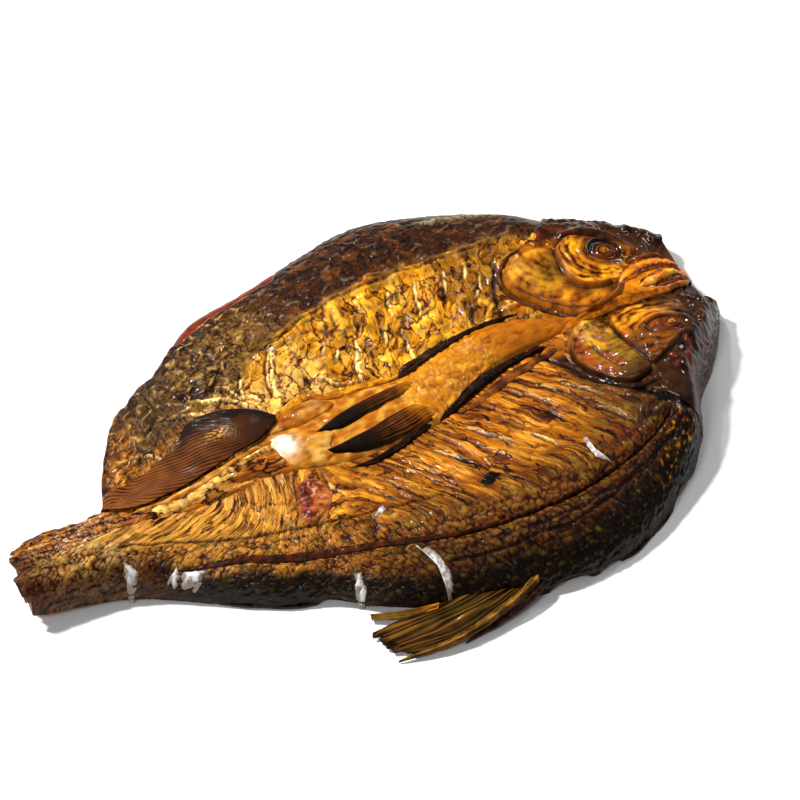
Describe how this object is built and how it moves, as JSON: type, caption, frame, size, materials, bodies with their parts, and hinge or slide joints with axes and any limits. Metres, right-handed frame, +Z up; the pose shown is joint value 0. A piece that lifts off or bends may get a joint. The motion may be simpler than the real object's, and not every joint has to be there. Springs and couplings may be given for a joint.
{
  "type": "dried bream",
  "caption": "Dried bream split along its back and opened flat, skin side up, with a halved head, gill covers, folded fins, a belly strip and a chopped tail stalk.",
  "frame": {"origin": "centre of the bounding box in plan, on the level that the fish rests on", "axes": "+X from the tail stalk to the snout, +Y from the near flank to the far flank, +Z up out of the skin side"},
  "size_m": [0.3242, 0.2212, 0.0261],
  "materials": {
    "cured_skin": "dried and oiled, glossy amber over brown"
  },
  "bodies": {
    "root": {"bream": "cured_skin"}
  },
  "joints": []
}
